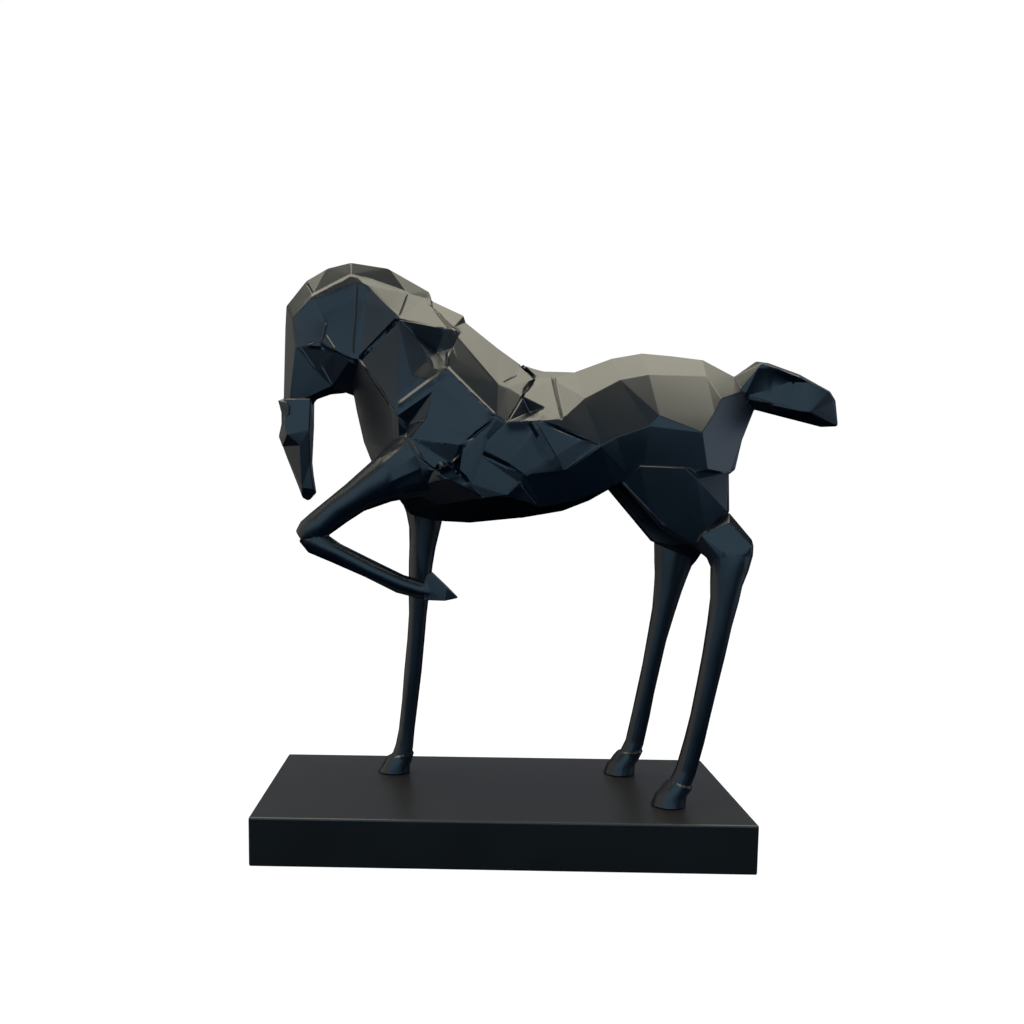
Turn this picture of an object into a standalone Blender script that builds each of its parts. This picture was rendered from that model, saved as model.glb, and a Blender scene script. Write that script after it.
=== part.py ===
"""Geometric horse sculpture: a faceted horse with an arched neck, standing on a plinth.

Metres, +Z up. The origin is the middle of the plinth's underside, +X points to the
tail, and the horse's near side, whose foreleg is raised, faces -Y.
"""
import bpy
import bmesh
import numpy as np
from mathutils import Vector

# Driving sizes of the plinth and of its fit, in metres
PLINTH_LENGTH = 0.320
PLINTH_WIDTH = 0.140
PLINTH_HEIGHT = 0.032
PLINTH_BEVEL = 0.0012
SEAT_GAP = 0.0003
SLIVER = 0.00002

# The horse keeps its proportions: its height from soles to crest drives all of it
HORSE_HEIGHT = 0.3575

# Everything below is in the drawing's millimetres, heights taken from the soles
LEG_SIDES = 16
FORE_OUT = 30.0
HIND_OUT = 34.0
RAISED_OUT = 26.0
# The far gaskin leans further forward than the near one: by this much at its foot, and by
# nothing from this height up
FAR_STEP = 20.2
FAR_STEP_FOOT = 167.0
FAR_STEP_TOP = 183.0
GROOVE_WIDTH = 3.4
GROOVE_DEPTH = 2.6
FLATTEN_PULL = 0.7

# Profile of the back from poll to buttock, and of the underside from throat to crotch
RIDGE = [
    (-149, 266), (-147.5, 314.5), (-146.5, 329), (-133, 345.5), (-118, 354), (-103, 357.5),
    (-78.5, 354), (-50, 338.5), (-48.5, 332.5), (-27, 323), (-25.5, 318.5), (-4, 301.5), (12, 290.5),
    (27.5, 286.5), (48, 286), (72, 295), (92, 298.5), (112, 297), (132.5, 294.5),
    (155.5, 283), (169, 262.5), (162, 244.5), (157.5, 221.5)]
KEEL = [
    (-129.5, 261.5), (-125.5, 267), (-116.5, 270), (-106.5, 271), (-101, 269), (-99, 259),
    (-94.5, 238.5), (-89, 225), (-62.5, 189.5), (-45, 185), (-21.5, 184), (13, 187.5),
    (41.5, 192.5), (60, 200), (75, 209), (114, 210)]

# Corners of the facets on one side: along, up, and out from the middle plane
CREST = dict(
    s0=(-144, 263.5, 6), s1=(-141.5, 319, 7), s2=(-128, 335, 7), s3=(-102, 348.5, 5),
    s4=(-63.5, 335.5, 6), s5=(-49, 332.5, 3), t2=(-126.5, 332, 9), t3=(-97, 341.5, 8.5),
    t5=(-90.5, 339.5, 10), t4=(-69.5, 317, 22))
NECK = dict(
    n1=(-117.5, 316, 13), n2=(-120.5, 303.5, 15), n3=(-138.5, 300, 11), n4=(-100.5, 292, 17),
    n5=(-110, 297.5, 16), n6=(-95.5, 291.5, 17.5), n7=(-124, 284, 10), m0=(-135.5, 265.5, 6),
    m1=(-114, 275, 9), m2=(-100.5, 278.5, 6.5), n8=(-68.5, 312, 22), n9=(-58.5, 307.5, 24),
    n10=(-45, 299, 26))
SHOULDER = dict(
    l1=(-46, 285, 31), c0=(-68.5, 266.5, 33), c1=(-71, 256, 34.5), c2=(-71.5, 232.5, 27),
    c3=(-64.5, 206.5, 25), w0=(-60.5, 321, 16), w1=(-54, 327, 10), w2=(-47.5, 324.5, 10),
    w3=(-35, 311, 18), w4=(-37.5, 307, 21.5), p0=(-37, 283.5, 33), p1=(-6, 252, 44),
    a1=(-46, 269, 34), a4=(-51.5, 250, 36), p2=(-26, 236, 43.5), a3=(-63, 248, 37),
    a5=(-63.5, 239, 37), l4=(-32, 293.5, 27), pk=(16, 256.5, 29))
BACK = dict(
    x4=(21, 281, 7), x1=(-5, 273.5, 34.5), x3=(1.5, 272, 32), x2=(10.5, 267, 30),
    x5=(32, 280.5, 7), x6=(34.5, 251.5, 41), x7=(25.5, 259, 36), u0=(38.5, 253.5, 41),
    u1=(50.5, 265.5, 33), u2=(74, 278, 25), u3=(92.5, 281.5, 25), u4=(131.5, 281.5, 17.5),
    u5=(137.5, 277.5, 18), u6=(139, 266, 27))
BARREL = dict(
    b2=(-35, 222.5, 44), b3=(-46, 217.5, 44), b0=(1, 249, 43), b1=(20.5, 250.5, 43),
    b5=(-20, 230.5, 43.5), b4=(-21.5, 210.5, 43), b6=(-12.5, 201.5, 42), b7=(12.5, 216.5, 42.5),
    b8=(9.5, 210.5, 41.5), b9=(0.5, 203.5, 42), b10=(38, 219, 43), e0=(-41.5, 197, 27),
    e1=(24.5, 196, 35), e2=(47, 200.5, 36), e3=(71, 210, 37))
QUARTER = dict(
    v0=(59.5, 234.5, 45), v1=(69.5, 240, 44), v2=(90.5, 247.5, 42), v3=(96.5, 254, 42),
    v4=(123.5, 243.5, 42), v5=(133.5, 257, 33), v6=(128.5, 220.5, 39), v7=(112.5, 216, 38),
    v8=(88.5, 219.5, 37), v9=(79.5, 214.5, 36), q1=(157, 272.5, 10), q3=(153.5, 231.5, 16),
    q4=(148, 218, 21))

# Facets of one side of the trunk, each the names of its corners in turn: the plates that
# show from the side and are made flat, then the throat and underside, which join them up
PLATES = """
    r0 r1 n3 s0, r1 s1 n3, r1 r2 s1, r2 r3 s2 s1, r3 r4 r5 s3 s2, r5 r6 s4 s3, r6 r7 s5 s4,
    r7 r8 s5, s1 s2 t2, s2 s3 t3 t2, s3 s4 t4 t5 t3, s4 s5 w1 w0 t4,
    s1 t2 n1 n2 n3, t2 t3 n4 n5 n1, n1 n5 n2, t3 t5 t4 n6 n4, s0 n3 n7 m0, n3 n2 n5 n7,
    n7 n5 n4 m1, m0 n7 m1, n4 n6 m2 m1, n6 c1 c2 k6 k5 k4 m2, n6 t4 n8 c0 c1,
    n8 n9 n10 l1 c0, t4 w4 n10 n9 n8, w0 w1 w2 w3 w4 t4, s5 r8 r9 w3 w2 w1, r9 r10 w3,
    w3 r10 r11 r12 x4 x2 x3 x1, r12 r13 x4, x4 r13 x5 x6 x7 x2, x5 u1 u0 x6,
    r13 r14 u1 x5, r14 r15 u2 u1, r15 r16 u3 u2, w4 w3 x1 p1 l4, x1 x3 x2 b0 p1, x2 x7 pk,
    x2 pk b0, pk x7 b1, pk b1 b0, x7 x6 b1, x6 u0 v0 b1, w4 p0 l1 n10, w4 l4 p1 p0, c0 l1 p0 a1 c1, c1 a1 a3,
    a1 a4 a5 a3, p0 p1 p2 a4 a1, a4 p2 b2 b3 a5, c1 a3 a5 b3 c3 c2,
    p2 b5 b4 b2, b2 b4 b6 b3, b5 b7 b8 b9 b6 b4, p1 b0 b1 b10 b7 b5 p2, b1 v0 b10,
    b7 b10 e2 e1 b8, b10 v0 e3 e2, b8 e1 b9, u0 u1 u2 v1 v0, u2 u3 v3 v2 v1,
    u3 u4 u5 u6 v5 v4 v3, r16 r17 r18 u4 u3, r18 r19 q1 u6 u5 u4,
    u6 q1 q3 q4 v6 v4 v5, q1 r19 r20, q1 r20 q3, r20 r21 q3, q3 r21 r22 q4,
    v3 v4 v6 v7 v8 v2, v0 v1 v2 v8 v9 e3"""
UNDERSIDE = """
    s0 m0 k0 r0, m0 m1 k2 k1 k0, m1 m2 k4 k3 k2, c2 k6 k7 k8 c3, b3 b6 e0, c3 b3 e0,
    k8 c3 e0 k9, e0 b6 k10 k9, b6 b9 k11 k10, b9 e1 k11, e1 e2 k12 k11, e2 e3 k14 k13 k12,
    e3 v9 v8 k15 k14, v8 v7 v6 q4 r22 k15"""

# Grooves between the plates, each along an edge of two facets
GROOVES = "p1 p2, p2 b7, b1 v0, t4 n6, r12 x4, x4 x2, b2 b4, n6 c1"

HEAD = dict(
    f0=(-149, 267, 0), f1=(-150.5, 259, 0), f2=(-150.5, 250, 0), f3=(-152.5, 241.5, 0),
    f4=(-150, 235, 0), f5=(-138.5, 206, 0), f6=(-136.5, 200, 0), f7=(-132, 197.5, 0),
    g0=(-129.5, 268, 0), g1=(-128, 246.5, 0), g2=(-129.5, 223, 0), g3=(-126.5, 203.5, 0),
    c0=(-146.5, 266.5, 8), c1=(-129, 266.5, 8), c2=(-130, 246, 9), c3=(-136.5, 235.5, 8),
    c4=(-145, 242.5, 9), c5=(-147, 249.5, 8), c6=(-136, 207, 4), c7=(-128, 206, 4),
    c8=(-130, 224, 5))
HEAD_FACETS = """
    f0 f1 c0, f1 f2 c5 c0, f2 f3 c4 c5, c0 c5 c4 c3 c2 c1, f3 f4 c4, f4 f5 c6 c3 c4,
    c3 c6 c7 c8 c2, g0 g1 c2 c1, g1 g2 c8 c2, g2 g3 c7 c8, f5 f6 c6, f6 f7 c6,
    f7 g3 c7 c6, f0 c0 c1 g0"""
EAR = [(-151.5, 265.5, 8), (-148, 267, 4), (-143, 262, 10.5), (-148, 252, 6), (-143, 256, 10)]

# The tail's outline on the middle plane, then its corners out to either side
TAIL = [(154, 283, 0), (168.5, 293.5, 0), (177, 292.5, 0), (198, 285, 0), (218.5, 274, 0),
        (222.5, 268, 0), (225, 250.5, 0), (214, 250, 0), (196, 255, 0), (164, 262.5, 0),
        (156.5, 273.5, 7), (170, 291, 9), (194, 282.5, 10), (215.5, 272.5, 7), (219, 266.5, 6),
        (201.5, 259, 11), (178.5, 264, 9), (158.5, 267, 6)]

# Outer corners of thigh and gaskin; both are closed off by the same corners further in
THIGH = [(74.5, 211.5, 37), (85.5, 222.5, 41), (113.5, 221.5, 41), (121.5, 214.5, 40), (140, 208.5, 30),
         (142.5, 194.5, 34), (130, 181, 35), (124, 171, 33), (101.5, 182.6, 34), (95, 189, 35.5),
         (146.5, 219, 24), (146.5, 193.5, 28)]
GASKIN = [(146.5, 193, 28), (144, 187, 36), (130, 181, 36.5), (126.5, 178.5, 37), (124, 171, 32),
          (140, 168.5, 40.5), (158, 172.5, 39.5), (161, 172, 34), (159.5, 176, 35)]
INNER_OUT = 22.0

# Rings of the limbs from the top down: along, up, half depth, half width
HIND_LIMB = [(144, 180, 7, 1), (146, 165, 14.8, 7), (146, 157, 12.2, 7.3), (144.3, 147, 10.3, 7.2),
             (143.6, 137, 9.2, 7), (141, 121, 8, 6.6), (137.8, 100, 7.3, 6.1),
             (134.4, 81, 6.8, 5.8), (130.6, 60, 6.4, 5.7), (127.4, 44, 6.6, 5.7),
             (122.3, 23, 6.7, 6), (118.7, 13.5, 7.2, 6.8), (113, 7, 10, 9), (111.5, 0, 11.3, 10.4)]
FAR_HIND_LIMB = [(136, 178, 7, 1), (127, 164, 17, 7.5), (125.6, 155, 13.6, 7.5),
                 (124.3, 146, 11.6, 7.3), (122.7, 137, 10.2, 7), (120, 121, 8.3, 6.6),
                 (115.7, 100, 7, 6.1), (112.3, 80, 6.5, 5.8), (108.7, 61, 6.4, 5.7),
                 (105.8, 44, 6.6, 5.7), (101.7, 23, 6.7, 6), (98.1, 13.5, 7.2, 6.8),
                 (92.4, 7, 10, 9), (90.9, 0, 11.3, 10.4)]
FORE_LIMB = [(-55, 212, 20, 12), (-53, 191, 14, 10.5), (-53.4, 179, 11.4, 9.5),
             (-54.8, 166, 9.7, 8.6), (-56, 153, 8.8, 7.8), (-57.2, 132, 7.6, 7),
             (-57.9, 117, 6.6, 6.4), (-59.2, 98, 6.4, 6), (-61.2, 75, 6.5, 5.8),
             (-63.3, 52, 6, 5.6), (-65.6, 31, 5.9, 5.5), (-67.2, 19, 6.6, 6), (-69, 11, 7.4, 6.6),
             (-73, 5, 10, 8.8), (-74.8, 0, 11.9, 10)]
FOREARM = [(-52, 226, 25, 13), (-77, 213, 15.5, 12.5), (-97, 201, 10.8, 10),
           (-108.5, 192.5, 10, 9), (-120.5, 183.3, 9.6, 8.6), (-127, 177.5, 9.6, 8.4),
           (-132.3, 173.5, 6.6, 6)]
CANNON = [(-131.5, 176, 5, 6), (-124, 172, 8.6, 8), (-110, 164.4, 6.9, 6.6),
          (-88, 154.3, 6.3, 6), (-67.4, 144.3, 6.4, 6), (-55, 141, 6.2, 6.6), (-46, 140, 5.6, 6.6)]
# Raised hoof: along, up, half width
RAISED_HOOF = [(-51, 134.2, 6), (-50.5, 149, 6), (-46.3, 152, 6), (-36.3, 142.8, 6.5),
               (-37.6, 134, 7), (-29, 135.5, 3)]

DRAWN_HEIGHT = max(up for _, up in RIDGE)
SCALE = HORSE_HEIGHT / DRAWN_HEIGHT
SOLE_LEVEL = PLINTH_HEIGHT + SEAT_GAP


def clear_scene():
    for obj in list(bpy.data.objects):
        bpy.data.objects.remove(obj, do_unlink=True)


def place(along, up, out, side=-1):
    """A point of the drawing in metres; side -1 is the near side and +1 the far side."""
    return Vector((along * SCALE, side * out * SCALE, up * SCALE + SOLE_LEVEL))


def facet_names(text):
    return [facet.split() for facet in text.replace("\n", " ").split(",")]


def flatten(corners, facets, pull):
    """Least squares over how far out the corners lie: each facet as flat as the others
    allow, each corner drawn back to its own place by the factor pull. Corners on the
    middle plane stay there."""
    names = [name for name in corners if corners[name][2] > 0]
    column = {name: i for i, name in enumerate(names)}
    rows, right = [], []
    for facet in facets:
        if len(facet) < 4:
            continue
        spot = np.array([[1.0, corners[n][0] / 100, corners[n][1] / 100] for n in facet])
        basis = np.linalg.qr(spot)[0]
        off_plane = np.eye(len(facet)) - basis @ basis.T
        for weights in off_plane:
            row = np.zeros(len(names))
            for name, weight in zip(facet, weights):
                if name in column:
                    row[column[name]] += weight
            rows.append(row)
            right.append(0.0)
    for name in names:
        row = np.zeros(len(names))
        row[column[name]] = pull
        rows.append(row)
        right.append(pull * corners[name][2])
    outs = np.linalg.lstsq(np.array(rows), np.array(right), rcond=None)[0]
    return {name: (x, z, float(outs[column[name]]) if name in column else 0.0)
            for name, (x, z, _) in corners.items()}


def add_mesh(name, points, faces):
    mesh = bpy.data.meshes.new(name)
    mesh.from_pydata([tuple(p) for p in points], [], faces)
    bm = bmesh.new()
    bm.from_mesh(mesh)
    bmesh.ops.recalc_face_normals(bm, faces=bm.faces)
    bmesh.ops.triangulate(bm, faces=bm.faces)
    bm.to_mesh(mesh)
    bm.free()
    obj = bpy.data.objects.new(name, mesh)
    bpy.context.scene.collection.objects.link(obj)
    return obj


def mirrored_solid(name, corners, facets):
    """Both sides of a symmetric solid from one side's corners and facets."""
    points, index = [], {}
    for side in (-1, 1):
        for corner, (x, z, out) in corners.items():
            if out == 0 and side == 1:
                index[corner, side] = index[corner, -1]
            else:
                index[corner, side] = len(points)
                points.append(place(x, z, out, side))
    faces = [[index[c, side] for c in facet[::side]] for side in (-1, 1) for facet in facets]
    return add_mesh(name, points, faces)


def hull(name, points):
    """The convex faceted solid that just holds all the points."""
    bm = bmesh.new()
    for point in points:
        bm.verts.new(point)
    result = bmesh.ops.convex_hull(bm, input=bm.verts)
    spare = {v for v in result["geom_interior"] + result["geom_unused"]
             if isinstance(v, bmesh.types.BMVert)}
    bmesh.ops.delete(bm, geom=list(spare), context="VERTS")
    bmesh.ops.recalc_face_normals(bm, faces=bm.faces)
    mesh = bpy.data.meshes.new(name)
    bm.to_mesh(mesh)
    bm.free()
    obj = bpy.data.objects.new(name, mesh)
    bpy.context.scene.collection.objects.link(obj)
    return obj


def ring_points(rings, out, side, level_rings=0):
    """Corners of a limb's elliptical rings, each ring square to the limb's run. The last
    level_rings lie level, as a hoof does on the ground."""
    mid = [(x, z) for x, z, _, _ in rings]
    points = []
    for i, (_, _, depth, width) in enumerate(rings):
        before, after = mid[max(i - 1, 0)], mid[min(i + 1, len(mid) - 1)]
        run = Vector((after[0] - before[0], after[1] - before[1])).normalized()
        across = Vector((1, 0)) if i >= len(rings) - level_rings else Vector((-run.y, run.x))
        for k in range(LEG_SIDES):
            angle = 2 * np.pi * (k + 0.5) / LEG_SIDES
            reach = depth * np.cos(angle)
            points.append(place(mid[i][0] + across.x * reach, mid[i][1] + across.y * reach,
                                out + width * np.sin(angle), side))
    return points


def limb(name, points):
    """A round limb through rings of corners."""
    faces = [list(range(LEG_SIDES)), list(range(len(points) - LEG_SIDES, len(points)))]
    for i in range(len(points) // LEG_SIDES - 1):
        for k in range(LEG_SIDES):
            a, b = i * LEG_SIDES + k, i * LEG_SIDES + (k + 1) % LEG_SIDES
            faces.append([a, b, b + LEG_SIDES, a + LEG_SIDES])
    return add_mesh(name, points, faces)


def boolean(target, tool, operation):
    modifier = target.modifiers.new("cut", "BOOLEAN")
    modifier.operation = operation
    modifier.solver = "EXACT"
    modifier.object = tool
    graph = bpy.context.evaluated_depsgraph_get()
    mesh = bpy.data.meshes.new_from_object(target.evaluated_get(graph))
    target.modifiers.clear()
    old, target.data = target.data, mesh
    bpy.data.meshes.remove(old)
    mesh.name = target.name
    bpy.data.objects.remove(tool, do_unlink=True)


def clear_slivers(obj):
    """Merges corners that the cuts left closer together than SLIVER."""
    bm = bmesh.new()
    bm.from_mesh(obj.data)
    bmesh.ops.remove_doubles(bm, verts=bm.verts, dist=SLIVER)
    bmesh.ops.dissolve_degenerate(bm, edges=bm.edges, dist=SLIVER)
    bmesh.ops.triangulate(bm, faces=bm.faces)
    bm.to_mesh(obj.data)
    bm.free()


def groove_tool(corners, facets, ends, side):
    """A spindle along the edge between two corners, as wide and deep at its middle as
    the groove, pointed at both ends."""
    a, b = (place(*corners[name], side) for name in ends)
    normal = Vector((0, 0, 0))
    for facet in facets:
        if ends[0] in facet and ends[1] in facet:
            ring = [place(*corners[name], side) for name in facet]
            area = sum((p.cross(q) for p, q in zip(ring, ring[1:] + ring[:1])), Vector((0, 0, 0)))
            normal += area.normalized() * (1 if area.y * side > 0 else -1)
    normal.normalize()
    sideways = normal.cross(b - a).normalized() * GROOVE_WIDTH * SCALE / 2
    lift, sink = normal * 0.6 * SCALE, normal * GROOVE_DEPTH * SCALE
    points = [a + lift, b + lift]
    for share in (0.3, 0.7):
        spot = a.lerp(b, share)
        points += [spot + sideways + lift, spot - sideways + lift, spot - sink, spot + 3 * lift]
    return hull("groove", points)


def inner(points):
    """The same corners brought in to the inner face of the leg."""
    return [(x, z, INNER_OUT) for x, z, _ in points]


def hind_step(z, side):
    """How far ahead the far thigh and gaskin stand at height z, and 0 for the near ones."""
    return float(np.interp(z, [FAR_STEP_FOOT, FAR_STEP_TOP], [FAR_STEP, 0])) if side == 1 else 0.0


def make_plinth():
    half = Vector((PLINTH_LENGTH / 2, PLINTH_WIDTH / 2, PLINTH_HEIGHT))
    bm = bmesh.new()
    bmesh.ops.create_cube(bm, size=1.0)
    for vert in bm.verts:
        vert.co = Vector((vert.co.x * 2 * half.x, vert.co.y * 2 * half.y, (vert.co.z + 0.5) * half.z))
    bmesh.ops.bevel(bm, geom=list(bm.edges), offset=PLINTH_BEVEL, segments=2, profile=0.5,
                    affect="EDGES", clamp_overlap=True)
    mesh = bpy.data.meshes.new("plinth")
    bm.to_mesh(mesh)
    bm.free()
    obj = bpy.data.objects.new("plinth", mesh)
    bpy.context.scene.collection.objects.link(obj)
    return obj


def make_trunk():
    corners = {f"r{i}": (x, z, 0) for i, (x, z) in enumerate(RIDGE)}
    corners.update({f"k{i}": (x, z, 0) for i, (x, z) in enumerate(KEEL)})
    for region in (CREST, NECK, SHOULDER, BACK, BARREL, QUARTER):
        corners.update(region)
    plates = facet_names(PLATES)
    corners = flatten(corners, plates, FLATTEN_PULL)
    facets = plates + facet_names(UNDERSIDE)
    trunk = mirrored_solid("horse", corners, facets)
    tools = [groove_tool(corners, facets, ends, side)
             for ends in facet_names(GROOVES) for side in (-1, 1)]
    return trunk, tools


def make_limbs():
    parts = []
    for side, rings in ((-1, HIND_LIMB), (1, FAR_HIND_LIMB)):
        leg = ring_points(rings, HIND_OUT, side, 2)
        thigh, gaskin = ([place(x - hind_step(z, side), z, out, side)
                          for x, z, out in group + inner(group)] for group in (THIGH, GASKIN))
        hock = leg[LEG_SIDES:2 * LEG_SIDES]
        parts += [hull("thigh", thigh), hull("gaskin", gaskin + hock),
                  limb("hind leg", leg)]
        parts.append(hull("ear", [place(x, z, out, side) for x, z, out in EAR]))
    parts.append(limb("foreleg", ring_points(FORE_LIMB, FORE_OUT, 1, 2)))
    parts.append(limb("forearm", ring_points(FOREARM, RAISED_OUT, -1)))
    parts.append(limb("cannon", ring_points(CANNON, RAISED_OUT, -1)))
    parts.append(hull("hoof", [place(x, z, RAISED_OUT + s * w, -1)
                               for x, z, w in RAISED_HOOF for s in (-1, 1)]))
    return parts


def make_horse():
    horse, tools = make_trunk()
    parts = [mirrored_solid("head", HEAD, facet_names(HEAD_FACETS)),
             hull("tail", [place(*corner, side) for corner in TAIL
                           for side in ((-1, 1) if corner[2] else (1,))])]
    parts += make_limbs()
    for part in parts:
        boolean(horse, part, "UNION")
    for tool in tools:
        boolean(horse, tool, "DIFFERENCE")
    clear_slivers(horse)
    return horse


def paint(obj, name, colour, roughness, metallic):
    material = bpy.data.materials.new(name)
    material.use_nodes = True
    shader = material.node_tree.nodes["Principled BSDF"]
    shader.inputs["Base Color"].default_value = (*colour, 1.0)
    shader.inputs["Roughness"].default_value = roughness
    shader.inputs["Metallic"].default_value = metallic
    obj.data.materials.clear()
    obj.data.materials.append(material)


clear_scene()
paint(make_horse(), "blue-black satin lacquer", (0.012, 0.019, 0.028), 0.38, 0.4)
paint(make_plinth(), "black matt lacquer", (0.012, 0.012, 0.014), 0.5, 0.0)
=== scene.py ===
import math
import bmesh
import bpy
import numpy as np
from mathutils import Matrix, Vector


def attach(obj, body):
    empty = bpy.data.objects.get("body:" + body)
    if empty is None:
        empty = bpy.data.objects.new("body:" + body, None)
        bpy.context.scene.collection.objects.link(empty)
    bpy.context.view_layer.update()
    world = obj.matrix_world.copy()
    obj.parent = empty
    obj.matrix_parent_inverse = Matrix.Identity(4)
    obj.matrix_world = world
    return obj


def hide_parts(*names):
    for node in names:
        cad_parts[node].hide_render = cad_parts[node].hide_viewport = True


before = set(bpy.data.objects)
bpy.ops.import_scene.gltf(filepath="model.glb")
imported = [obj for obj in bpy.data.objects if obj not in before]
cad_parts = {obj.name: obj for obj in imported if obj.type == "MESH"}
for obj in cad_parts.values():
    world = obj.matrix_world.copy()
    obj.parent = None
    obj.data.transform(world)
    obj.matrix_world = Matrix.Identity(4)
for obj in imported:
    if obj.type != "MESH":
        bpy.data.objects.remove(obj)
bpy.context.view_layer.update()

MM = 0.001

# The photograph's camera, found from the plinth's corners
PICTURE_SIDE = 1024
FOCAL_PIXELS = 911.6
CENTRE_PIXEL = (435.4, 574.8)
CAMERA_PLACE = (-0.0295, -0.625, 0.2384)
YAW, PITCH, ROLL = math.radians(1.39), math.radians(5.30), math.radians(0.44)
SENSOR = 36.0

# Corners this close are one, and edges shorter than this are taken out
SAME_PLACE = 0.001 * MM
SHORT_EDGE = 0.35 * MM
# Plates: triangles that meet flatter than this are one plate, plates from this area up are
# made flat, and a strip of this width softens the edges between them
PLATE_ANGLE = math.radians(7)
PLATE_AREA = 8 * MM * MM
EDGE_WIDTH = 0.5 * MM
# On the round limbs only edges sharper than this are softened
LIMB_ANGLE = math.radians(40)

# Centre lines of the round limbs: reach about the line, then along, across and up, in mm
LIMBS = [
    # Near and far hind leg
    (14, [(146, -34, 192), (141, -34, 153), (111, -34, 32)]),
    (15, [(126, 34, 190), (120, 34, 153), (90, 34, 32)]),
    # Standing foreleg
    (15, [(-53, 30, 208), (-57, 30, 155), (-75, 30, 32)]),
    # Raised foreleg, above and below the knee
    (17, [(-70, -26, 250), (-97, -26, 233), (-132, -26, 206)]),
    (11, [(-132, -26, 208), (-88, -26, 186), (-50, -26, 172)])]

# Grooves (height below 0) and ridges (above): half width and height in mm, then the points
# along and up of the line, drawn on the near side and cut on both
STROKES = [
    # Withers
    (1.2, 1.0, [(-37, 328), (-37.5, 317)]),
    # Shoulder and barrel
    (1.2, -1.3, [(-34, 253.5), (-23, 244)]),
    (0.8, -0.6, [(10.8, 242), (23, 228.5)]),
    (1.3, -1.3, [(15.3, 280.5), (20.4, 272)]),
    (2.0, -1.6, [(-26.5, 267), (-33, 255.5)]),
    # Saddle
    (1.7, -1.8, [(12, 322.8), (21, 313.3)]),
    (0.9, -1.0, [(21, 313.3), (12.8, 301.8), (7.3, 292), (1, 282)]),
    (0.8, -0.8, [(32, 315), (33.4, 300), (35.3, 283)]),
    (0.7, 0.5, [(34, 315), (35.2, 300), (36.8, 284)]),
    (0.7, -0.35, [(-1.3, 307.6), (9.1, 314.5)]),
    # Neck and cheek
    (1.9, -2.0, [(-69.5, 349.3), (-95.5, 323.8)]),
    (0.9, -1.1, [(-95.5, 323.8), (-71, 288.3)]),
    (0.8, -0.7, [(-64.4, 367), (-69, 350.5)]),
    (1.0, -0.9, [(-131.8, 375), (-127.4, 368)]),
    (0.8, 0.5, [(-102.8, 389), (-102.4, 380)]),
    (0.9, 0.7, [(-97.8, 373.6), (-99.6, 326)]),
    (1.2, 0.9, [(-117.5, 347.7), (-120.6, 335.5)]),
    (0.8, 0.7, [(-117.4, 339.2), (-110.6, 329)]),
    (1.2, -1.0, [(-120.4, 332), (-97.5, 321.6)]),
    # Thigh
    (0.9, 0.6, [(75, 244.3), (103, 216.3)]),
    # Face
    (0.8, 0.6, [(-135.4, 332.3), (-125.7, 318.5)]),
    (0.8, 0.5, [(-120.8, 319.4), (-112.6, 304)]),
    (2.2, 0.9, [(-129.5, 333.5), (-122, 332.6)])]

# Ledges, in mm: width of the sloping face, how far the side to the right of the line's run
# stands out, how far that fades over, then the line
LEDGES = [
    # Back and base of the neck
    (2.4, 1.8, 9, [(-37.5, 317), (-7, 286)]),
    (2.2, 1.6, 4, [(-70, 292.5), (-37.5, 317)]),
    # Shoulder, belly and saddle
    (1.1, 0.9, 7, [(-64, 271.5), (-47, 250)]),
    (1.0, 0.8, 7, [(-44.5, 247.5), (-33.8, 252), (-30, 253.3)]),
    (1.0, 0.8, 6, [(-23.7, 244.5), (-12.4, 233.5)]),
    (1.0, 0.8, 6, [(-0.7, 234.6), (9.7, 244.2)]),
    (0.9, 0.7, 8, [(18.9, 281.8), (37.4, 251.8)]),
    (1.2, 1.0, 6, [(0, 281.7), (11, 282.4), (24, 290.3)]),
    # Lower side of the crest
    (2.2, 1.0, 14, [(-142, 350.7), (-128, 366.3), (-102.3, 380), (-89, 377), (-63.5, 368)]),
    # Tops of the hooves
    (1.4, 1.2, 10, [(110, 49.4), (134, 43.3)]),
    (1.4, 1.2, 10, [(84, 47.1), (110.5, 50.5)]),
    (1.4, 1.2, 10, [(-84, 42), (-54, 48.5)])]

# Cut facets: named corners as along, up and how far the surface moves out there, in mm, then
# the triangles between them
CUTS = [
    # Undercut below the withers plate
    ({"a": (-69.7, 348.2, 0), "b": (-39.1, 339.4, 5.5), "c": (-44.1, 330.4, -6),
      "d": (-52.9, 364.4, 0), "e": (-29.1, 341.2, 0), "f": (-60, 312, 0),
      "g": (-44, 307, 0), "h": (-34, 330, 0)},
     ["abc", "abd", "bde", "acf", "cfg", "cgh", "bch", "beh"]),
    # Pocket beside the shoulder diamond
    ({"a": (-46.3, 301.6, 0), "b": (-68.5, 286.1, 0), "c": (-63.9, 277.8, -8),
      "d": (-49.9, 285, 0), "e": (-60.1, 271.5, 0), "f": (-68, 273, 0)},
     ["abc", "acd", "cde", "bcf", "cef"]),
    # Lower facet of the shoulder diamond
    ({"a": (-60.1, 271.5, 0), "b": (-26.8, 267, 0), "c": (-32, 254.5, -5),
      "d": (-46, 250.5, -5), "e": (-49, 243, 0), "f": (-29, 247.5, 0)},
     ["abc", "acd", "cde", "cef", "bcf", "ade"]),
    # Fold along the top of the tail
    ({"a": (158.9, 300.7, 0), "b": (167.4, 320.3, 0), "c": (163, 302.5, -4),
      "d": (190, 311.5, -4), "e": (180, 320, 0), "f": (201, 311, 0),
      "g": (201, 292, 0), "h": (164.6, 294.6, 0)},
     ["abc", "bcd", "bde", "def", "dfg", "cdg", "cgh", "ach"])]

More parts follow.
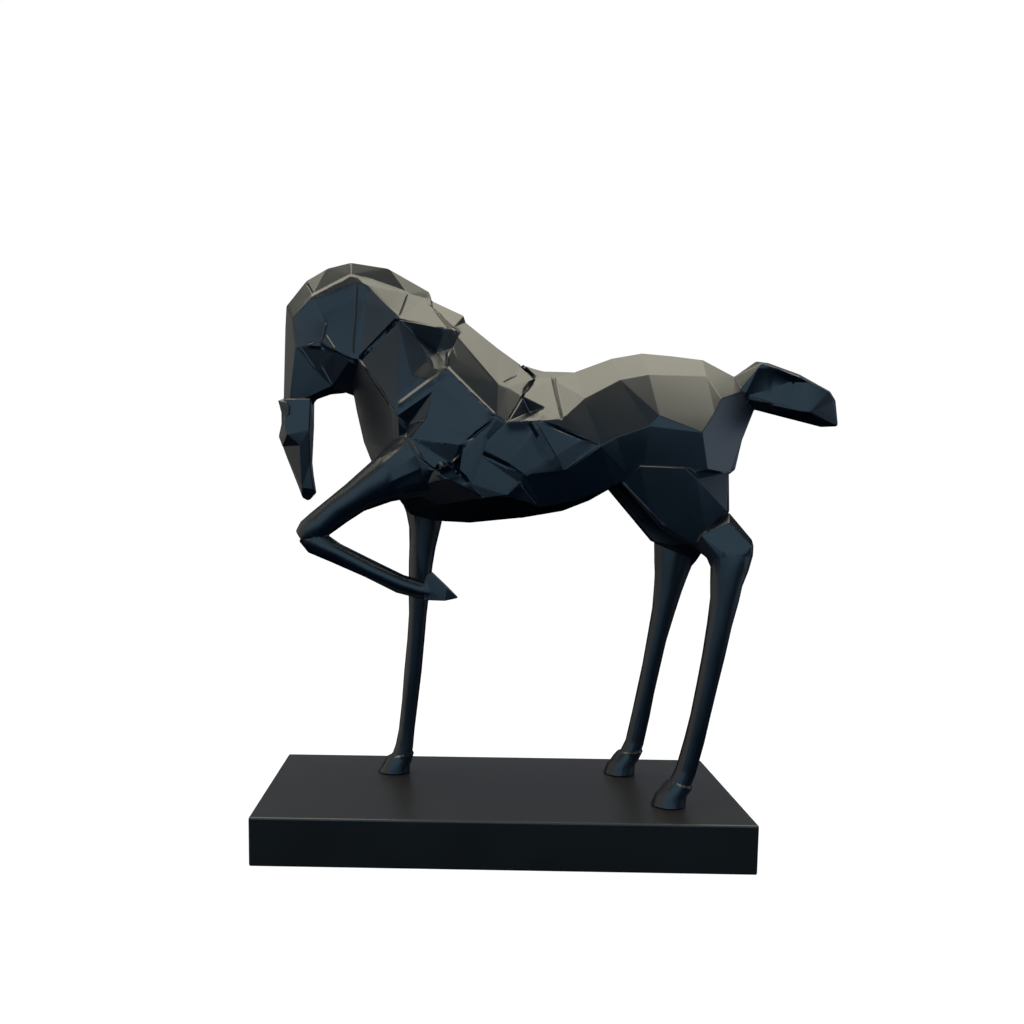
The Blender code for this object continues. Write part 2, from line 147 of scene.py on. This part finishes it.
# Refining before the carving: longest edge beside a carved line and where a ledge fades out,
# how near a line a corner counts as on it, and the most rounds of splitting
FINE_EDGE = 2.4 * MM
FADE_EDGE = 4 * MM
ON_LINE = 0.02 * MM
SPLIT_ROUNDS = 12
# Carving: share of a line over which each end tapers, and how far past the sides of a cut
# triangle, as a share of it, a point still counts as inside
TAPER_SHARE = 0.1
SIDE_MARGIN = 0.002
# Turn from which an edge is shaded sharp
SHARP_ANGLE = math.radians(28)


def linear(colour):
    """Linear red, green, blue and alpha of an sRGB hex colour."""
    shares = np.array([int(colour[i:i + 2], 16) for i in (1, 3, 5)]) / 255
    low, high = shares / 12.92, ((shares + 0.055) / 1.055) ** 2.4
    return (*np.where(shares <= 0.04045, low, high).tolist(), 1.0)


def add_node(tree, kind, inputs=None, links=None):
    """A node of a kind, with its input values and links into it from (node, output) pairs."""
    node = tree.nodes.new(kind)
    for name, value in (inputs or {}).items():
        node.inputs[name].default_value = value
    for name, (source, output) in (links or {}).items():
        tree.links.new(source.outputs[output], node.inputs[name])
    return node


def new_material(name):
    """An empty node material, its tree, and a node with the piece's own coordinates."""
    material = bpy.data.materials.new(name)
    material.use_nodes = True
    tree = material.node_tree
    tree.nodes.clear()
    return material, tree, add_node(tree, "ShaderNodeTexCoord")


def add_noise(tree, place, size, detail):
    """A noise pattern fixed to the piece, with features of a size in metres."""
    return add_node(tree, "ShaderNodeTexNoise", inputs={"Scale": 1 / size, "Detail": detail},
                    links={"Vector": (place, "Object")})


def add_tones(tree, pattern, tones):
    """A colour that goes from one sRGB tone to another where the pattern is mid-strength."""
    ramp = add_node(tree, "ShaderNodeValToRGB", links={"Fac": (pattern, "Fac")})
    for element, spot, tone in zip(ramp.color_ramp.elements, (0.3, 0.7), tones):
        element.position, element.color = spot, linear(tone)
    return ramp


def add_shader(tree, inputs, links):
    """The surface shader, joined to the material's output."""
    shader = add_node(tree, "ShaderNodeBsdfPrincipled", inputs=inputs, links=links)
    add_node(tree, "ShaderNodeOutputMaterial", links={"Surface": (shader, "BSDF")})


def lacquer(name, tones, roughness, ior, cloud_size, grain_size, grain_share, grain_height):
    """Lacquer sprayed on cast resin. A faint cloud moves its colour between two tones and
    its roughness between two values, and the grain of the spray bumps it: the bump counts
    by its share and is as high as its height in metres."""
    material, tree, place = new_material(name)
    cloud = add_noise(tree, place, cloud_size, 3.0)
    grain = add_noise(tree, place, grain_size, 2.0)
    body = add_tones(tree, cloud, tones)
    gloss = add_node(tree, "ShaderNodeMapRange",
                     inputs={"To Min": roughness[0], "To Max": roughness[1]},
                     links={"Value": (cloud, "Fac")})
    bump = add_node(tree, "ShaderNodeBump",
                    inputs={"Strength": grain_share, "Distance": grain_height},
                    links={"Height": (grain, "Fac")})
    add_shader(tree, {"IOR": ior},
               {"Base Color": (body, "Color"), "Roughness": (gloss, "Result"),
                "Normal": (bump, "Normal")})
    return material


def horse_lacquer():
    """Deep navy, near black, satin, with a fine orange peel."""
    return lacquer("blue-black satin lacquer", tones=("#050d16", "#07111c"),
                   roughness=(0.31, 0.35), ior=1.52, cloud_size=28 * MM,
                   grain_size=1.6 * MM, grain_share=0.1, grain_height=0.01 * MM)


def plinth_lacquer():
    """Near black with a weak wide sheen and a finer, dryer grain."""
    return lacquer("matt black lacquer", tones=("#1b1a1a", "#1f1e1e"),
                   roughness=(0.33, 0.39), ior=1.46, cloud_size=40 * MM,
                   grain_size=0.9 * MM, grain_share=0.3, grain_height=0.02 * MM)


def floor_paint():
    """White acrylic lit evenly from behind, so that the floor stays pale into the distance."""
    material, tree, place = new_material("backlit studio acrylic")
    cloud = add_noise(tree, place, 300 * MM, 2.0)
    body = add_tones(tree, cloud, ("#3c3c3c", "#404040"))
    add_shader(tree, {"Roughness": 0.9, "Emission Color": linear("#ffffff"),
                      "Emission Strength": 1.0}, {"Base Color": (body, "Color")})
    return material


def distance_to_line(points, line):
    """Distance in metres of each point from a line in mm, how far along it the nearest spot
    lies as a share of the whole, and whether the point is to the right of a flat line."""
    line = np.array(line, float) * MM
    lengths = np.linalg.norm(np.diff(line, axis=0), axis=1)
    starts = np.concatenate([[0], np.cumsum(lengths)])
    best, spot = np.full(len(points), np.inf), np.zeros(len(points))
    right = np.zeros(len(points), bool)
    for a, b, start, length in zip(line[:-1], line[1:], starts, lengths):
        run, away = b - a, points - a
        share = np.clip(away @ run / length ** 2, 0, 1)
        gap = np.linalg.norm(away - share[:, None] * run, axis=1)
        nearer = gap < best
        best[nearer], spot[nearer] = gap[nearer], (start + share * length)[nearer]
        right[nearer] = (run[0] * away[:, 1] - run[1] * away[:, 0] < 0)[nearer]
    return best, spot / starts[-1], right


def on_limb(points):
    """Which of the points, in metres, lie on a round limb."""
    found = np.zeros(len(points), bool)
    for reach, line in LIMBS:
        found |= distance_to_line(points, line)[0] < reach * MM
    return found


def merged_solid(node):
    """The node's triangles as one closed bmesh without doubled corners or tiny edges."""
    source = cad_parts[node]
    bm = bmesh.new()
    bm.from_mesh(source.data)
    bm.transform(source.matrix_world)
    bmesh.ops.remove_doubles(bm, verts=bm.verts, dist=SAME_PLACE)
    bmesh.ops.dissolve_degenerate(bm, edges=bm.edges, dist=SHORT_EDGE)
    return bm


def edge_facts(bm):
    """Edges between two faces, the angle each turns through, and whether it is on a limb."""
    edges = [e for e in bm.edges if len(e.link_faces) == 2]
    turns = np.array([e.calc_face_angle(0.0) for e in edges])
    middles = np.array([(e.verts[0].co + e.verts[1].co) / 2 for e in edges])
    return edges, turns, on_limb(middles)


def cut_plates(bm):
    """Joins the triangles of each plate, softens the edges between plates with a narrow
    strip, and flattens each plate: a corner moves along the plate's normal by its distance
    from the plane through the middle of the plate's corners, and where plates share it, by
    the mean of their moves."""
    edges, turns, limb = edge_facts(bm)
    joined = [e for e, turn, on in zip(edges, turns, limb) if turn < PLATE_ANGLE and not on]
    bmesh.ops.dissolve_limit(bm, angle_limit=PLATE_ANGLE, verts=[], edges=joined)
    edges, turns, limb = edge_facts(bm)
    sharp = [e for e, turn, on in zip(edges, turns, limb)
             if turn > (LIMB_ANGLE if on else PLATE_ANGLE)]
    bmesh.ops.bevel(bm, geom=sharp, offset=EDGE_WIDTH, offset_type="OFFSET", segments=1,
                    profile=0.5, affect="EDGES", clamp_overlap=False, loop_slide=True)
    bm.normal_update()
    bm.verts.index_update()
    plates = [f for f in bm.faces if f.calc_area() > PLATE_AREA]
    limb = on_limb(np.array([f.calc_center_median() for f in plates]))
    move, count = np.zeros((len(bm.verts), 3)), np.zeros(len(bm.verts))
    for plate, on in zip(plates, limb):
        if on or len(plate.verts) < 4:
            continue
        index = [v.index for v in plate.verts]
        spots = np.array([v.co for v in plate.verts])
        normal = np.array(plate.normal)
        move[index] -= np.outer((spots - spots.mean(0)) @ normal, normal)
        count[index] += 1
    move /= np.maximum(count, 1)[:, None]
    for vert, shift in zip(bm.verts, move):
        vert.co += Vector(shift)
    bmesh.ops.triangulate(bm, faces=bm.faces)


def split_edges(points, faces, cut_share):
    """Splits the edges where cut_share says, as a share from one end to the other, and the
    triangles beside them, so that the surface stays closed."""
    corners = np.stack([faces, np.roll(faces, -1, axis=1)], -1).reshape(-1, 2)
    pairs, which = np.unique(np.sort(corners, axis=1), axis=0, return_inverse=True)
    which = which.reshape(-1, 3)
    share = cut_share(points[pairs[:, 0]], points[pairs[:, 1]])
    marked = ~np.isnan(share)
    middle = np.full(len(pairs), -1)
    middle[marked] = len(points) + np.arange(marked.sum())
    starts, ends = points[pairs[marked, 0]], points[pairs[marked, 1]]
    points = np.concatenate([points, starts + share[marked, None] * (ends - starts)])
    cut = marked[which]
    count = cut.sum(1)
    out = [faces[count == 0]]
    for number, first in ((1, 0), (2, 2), (3, 0)):
        rows = np.flatnonzero(count == number)
        if not len(rows):
            continue
        # Turn each triangle so that its one cut edge comes first, or its one whole edge last
        odd = np.argmax(cut[rows] if number == 1 else ~cut[rows], axis=1) if number < 3 else 0
        turn = (np.arange(3)[None] + np.reshape(odd - first, (-1, 1))) % 3
        turn = np.broadcast_to(turn, (len(rows), 3))
        a, b, c = np.take_along_axis(faces[rows], turn, 1).T
        m, n, o = middle[np.take_along_axis(which[rows], turn, 1)].T
        new = {1: [(a, m, c), (m, b, c)], 2: [(m, b, n), (a, m, n), (a, n, c)],
               3: [(a, m, o), (m, b, n), (n, c, o), (m, n, o)]}[number]
        out += [np.stack(triangle, 1) for triangle in new]
    return points, np.concatenate(out)


def wanted_edge(points):
    """Longest edge allowed at each point: fine on the carved lines, coarser where a ledge
    fades out, and beyond that as long as the distance from the line or the fade."""
    flat = points[:, [0, 2]]
    wanted = np.ones(len(points))
    bands = [(half, 0, line) for half, _, line in STROKES]
    bands += [(width / 2, fade, line) for width, _, fade, line in LEDGES]
    for core, fade, line in bands:
        low, high = np.min(line, axis=0) * MM, np.max(line, axis=0) * MM
        outside = np.linalg.norm(np.maximum(np.maximum(low - flat, flat - high), 0), axis=1)
        close = outside - (core + fade) * MM < wanted
        gap = distance_to_line(flat[close], line)[0] - core * MM
        size = np.minimum(np.maximum(gap, FINE_EDGE), np.maximum(gap - fade * MM, FADE_EDGE))
        wanted[close] = np.minimum(wanted[close], size)
    return wanted


def long_edges(a, b):
    """One half for the edges that are longer than is wanted at any of five spots along
    them, and no number for the others."""
    length = np.linalg.norm(a - b, axis=1)
    found = np.zeros(len(a), bool)
    # The middle comes first, as it settles the most edges
    for share in (0.5, 0, 1, 0.25, 0.75):
        left = np.flatnonzero(~found & (length > FINE_EDGE))
        spots = a[left] + share * (b - a)[left]
        found[left] = length[left] > wanted_edge(spots)
    return np.where(found, 0.5, np.nan)


def crease_lines():
    """Straight lines, from and to as along and up in metres, where the carving changes
    slope: middles and sides of strokes, sides of ledges, and sides of cut triangles."""
    lines = []
    bands = [((-half, 0, half), line) for half, _, line in STROKES]
    bands += [((-width / 2, width / 2), line) for width, _, _, line in LEDGES]
    for sides, line in bands:
        for a, b in zip(np.array(line[:-1], float), np.array(line[1:], float)):
            across = np.array([b[1] - a[1], a[0] - b[0]]) / np.linalg.norm(b - a)
            lines += [(a + side * across, b + side * across) for side in sides]
    for spots, names in CUTS:
        sides = {tuple(sorted(pair)) for name in names
                 for pair in zip(name, name[1:] + name[0])}
        lines += [(np.array(spots[a][:2]), np.array(spots[b][:2])) for a, b in sorted(sides)]
    return [(a * MM, b * MM) for a, b in lines]


def crossed_edges(a, b):
    """Share along each edge at which a crease line crosses it: the distance of its start
    from the line over the distances of both ends. No number where none crosses."""
    share = np.full(len(a), np.nan)
    a, b = a[:, [0, 2]], b[:, [0, 2]]
    low, high = np.minimum(a, b), np.maximum(a, b)
    for p, q in crease_lines():
        close = (low < np.maximum(p, q)).all(1) & (high > np.minimum(p, q)).all(1)
        near = np.flatnonzero(close & np.isnan(share))
        length = np.linalg.norm(q - p)
        run = (q - p) / length
        side_a, side_b = ((ends[near] - p) @ np.array([run[1], -run[0]]) for ends in (a, b))
        over = (side_a * side_b < 0) & (np.minimum(abs(side_a), abs(side_b)) > ON_LINE)
        near, side_a, side_b = near[over], side_a[over], side_b[over]
        spot = side_a / (side_a - side_b)
        place = (a[near] + spot[:, None] * (b[near] - a[near]) - p) @ run
        inside = (place >= 0) & (place <= length)
        share[near[inside]] = spot[inside]
    return share


def corner_normals(points, faces):
    """Normal at each point: the mean of its faces' normals by area."""
    tiny = 1e-12
    a, b, c = (points[faces[:, i]] for i in range(3))
    cross = np.cross(b - a, c - a)
    total = np.zeros_like(points)
    for i in range(3):
        np.add.at(total, faces[:, i], cross)
    return total / np.maximum(np.linalg.norm(total, axis=1, keepdims=True), tiny)


def end_taper(share):
    """1 along a line, falling to 0 at its ends with the square root of the share left."""
    return np.sqrt(np.clip(np.minimum(share, 1 - share) / TAPER_SHARE, 0, 1))


def cut_shift(flat, corners):
    """How far, in mm, points move out inside a triangle of (along, up, out) corners: out
    mixed by how near each corner is, and nothing outside."""
    corners = np.array(corners)
    spread = (corners[1:, :2] - corners[0, :2]).T
    shares = np.linalg.solve(spread, (flat / MM - corners[0, :2]).T)
    inside = (shares.min(0) > -SIDE_MARGIN) & (shares.sum(0) < 1 + SIDE_MARGIN)
    return np.where(inside, corners[0, 2] + shares.T @ (corners[1:, 2] - corners[0, 2]), 0)


def carve(points, faces):
    """Refines the surface along the carved lines, then moves it along its normals. A stroke
    is highest or deepest on its line and nothing at its sides and ends. A ledge rises across
    its width and fades out beyond. A cut facet moves by the mixed depths of its corners."""
    for cut_share in (long_edges, crossed_edges):
        for _ in range(SPLIT_ROUNDS):
            before = len(points)
            points, faces = split_edges(points, faces, cut_share)
            if len(points) == before:
                break
    flat = points[:, [0, 2]]
    shift = np.zeros(len(points))
    for half, height, line in STROKES:
        gap, share, _ = distance_to_line(flat, line)
        shift += height * np.clip(1 - gap / (half * MM), 0, 1) * end_taper(share)
    for width, height, fade, line in LEDGES:
        gap, share, right = distance_to_line(flat, line)
        gap = np.where(right, gap, -gap) / MM
        rise = np.clip(gap / width + 0.5, 0, 1) * np.clip(1 - (gap - width / 2) / fade, 0, 1)
        shift += height * rise * end_taper(share)
    for spots, names in CUTS:
        cuts = [cut_shift(flat, [spots[corner] for corner in name]) for name in names]
        shift += np.max(cuts, axis=0) + np.min(cuts, axis=0)
    return points + corner_normals(points, faces) * shift[:, None] * MM, faces


def make_horse():
    """The horse: flat plates with softened edges, carved, in place of the plain solid."""
    bm = merged_solid("horse")
    cut_plates(bm)
    points = np.array([v.co for v in bm.verts])
    faces = np.array([[v.index for v in f.verts] for f in bm.faces])
    bm.free()
    points, faces = carve(points, faces)
    mesh = bpy.data.meshes.new("faceted_horse")
    mesh.from_pydata(points.tolist(), [], faces.tolist())
    mesh.shade_smooth()
    mesh.set_sharp_from_angle(angle=SHARP_ANGLE)
    horse = bpy.data.objects.new("faceted_horse", mesh)
    bpy.context.scene.collection.objects.link(horse)
    normals = horse.modifiers.new("flat plates", "WEIGHTED_NORMAL")
    normals.mode, normals.weight, normals.keep_sharp = "FACE_AREA", 50, True
    horse.data.materials.append(horse_lacquer())
    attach(horse, "root")
    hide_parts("horse")


def make_plinth():
    """The plinth: the plain block as it is, with its lacquer."""
    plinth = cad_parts["plinth"]
    plinth.data.materials.clear()
    plinth.data.materials.append(plinth_lacquer())


def make_floor():
    """A round floor whose rim curves up into a wall: a profile of reach and rise, through a
    quarter circle, carried round the sculpture."""
    radius, bend, height, hole = 1.9, 0.8, 2.4, 0.001
    bend_rows, turns = 13, 96
    turn = np.linspace(0, math.pi / 2, bend_rows)
    reach = np.concatenate([[hole], radius + bend * np.sin(turn), [radius + bend]])
    rise = np.concatenate([[0.0], bend * (1 - np.cos(turn)), [height]])
    angles = np.linspace(0, 2 * math.pi, turns, endpoint=False)
    points = np.stack([np.outer(reach, np.cos(angles)), np.outer(reach, np.sin(angles)),
                       np.outer(rise, np.ones(turns))], -1).reshape(-1, 3)
    rows = np.arange(len(reach) - 1)[:, None] * turns
    a = (rows + np.arange(turns)).ravel()
    b = (rows + (np.arange(turns) + 1) % turns).ravel()
    faces = np.stack([a, a + turns, b + turns, b], 1)
    mesh = bpy.data.meshes.new("studio_floor")
    mesh.from_pydata(points.tolist(), [], faces.tolist() + [list(range(turns))])
    mesh.shade_smooth()
    floor = bpy.data.objects.new("studio_floor", mesh)
    bpy.context.scene.collection.objects.link(floor)
    floor.data.materials.append(floor_paint())
    floor.visible_glossy = False
    floor.visible_diffuse = False
    floor.visible_shadow = False


def softbox(name, place, aim, size, power, colour):
    """A rectangular lamp at place that faces the point aim, its size in metres and its power
    in watts."""
    lamp = bpy.data.lights.new(name, "AREA")
    lamp.shape, lamp.size, lamp.size_y = "RECTANGLE", *size
    lamp.energy, lamp.color = power, linear(colour)[:3]
    obj = bpy.data.objects.new(name, lamp)
    obj.location = place
    obj.rotation_euler = (Vector(aim) - Vector(place)).to_track_quat("-Z", "Y").to_euler()
    obj.visible_camera = False
    bpy.context.scene.collection.objects.link(obj)


def light_scene():
    """Two overhead softboxes, four fills on a ring round the sculpture, turned by an azimuth
    from the near side, and an even pale surrounding that only the camera sees."""
    softbox("overhead softbox", (0.0, 0.27, 1.35), (0.0, 0.27, 0.0), (2.2, 1.2), 29.0,
            "#fffae2")
    softbox("overhead strip", (0.0, -0.1, 1.3), (0.0, -0.1, 0.0), (2.2, 0.3), 6.0,
            "#fffae2")
    ring, middle = 1.5, (0.03, 0.0, 0.2)
    for name, azimuth, height, width, tall, power, colour in (
            ("front fill", 0, 0.66, 3.2, 1.3, 19.0, "#aedaf8"),
            ("right fill", 88, 0.3, 1.2, 0.9, 3.6, "#d0e4ff"),
            ("back fill", 180, 0.72, 3.2, 1.15, 3.3, "#ccd6ea"),
            ("left fill", -85, 0.4, 2.4, 1.6, 9.0, "#fffdf2")):
        turn = math.radians(azimuth)
        place = (ring * math.sin(turn), -ring * math.cos(turn), height)
        softbox(name, place, middle, (width, tall), power, colour)
    world = bpy.data.worlds.new("studio air")
    world.use_nodes = True
    background = world.node_tree.nodes["Background"]
    background.inputs["Color"].default_value = linear("#f2f4f7")
    background.inputs["Strength"].default_value = 0.9
    world.cycles_visibility.glossy = False
    world.cycles_visibility.diffuse = False
    bpy.context.scene.world = world


def place_camera():
    """The photograph's camera: its axes from yaw, pitch and roll, its lens and its shift
    from the focal length and the centre in pixels."""
    forward = Vector((-math.sin(YAW) * math.cos(PITCH), math.cos(YAW) * math.cos(PITCH),
                      -math.sin(PITCH)))
    level = Vector((math.cos(YAW), math.sin(YAW), 0))
    upright = level.cross(forward)
    right = level * math.cos(ROLL) + upright * math.sin(ROLL)
    up = upright * math.cos(ROLL) - level * math.sin(ROLL)
    lens = bpy.data.cameras.new("photograph's camera")
    lens.sensor_width = SENSOR
    lens.lens = FOCAL_PIXELS * SENSOR / PICTURE_SIDE
    lens.shift_x = (PICTURE_SIDE / 2 - CENTRE_PIXEL[0]) / PICTURE_SIDE
    lens.shift_y = (CENTRE_PIXEL[1] - PICTURE_SIDE / 2) / PICTURE_SIDE
    lens.clip_start = 0.01
    camera = bpy.data.objects.new("photograph's camera", lens)
    axes = Matrix((right, up, -forward)).transposed().to_4x4()
    camera.matrix_world = Matrix.Translation(CAMERA_PLACE) @ axes
    bpy.context.scene.collection.objects.link(camera)
    bpy.context.scene.camera = camera


make_horse()
make_plinth()
make_floor()
light_scene()
place_camera()

bpy.context.scene.view_settings.view_transform = "Standard"
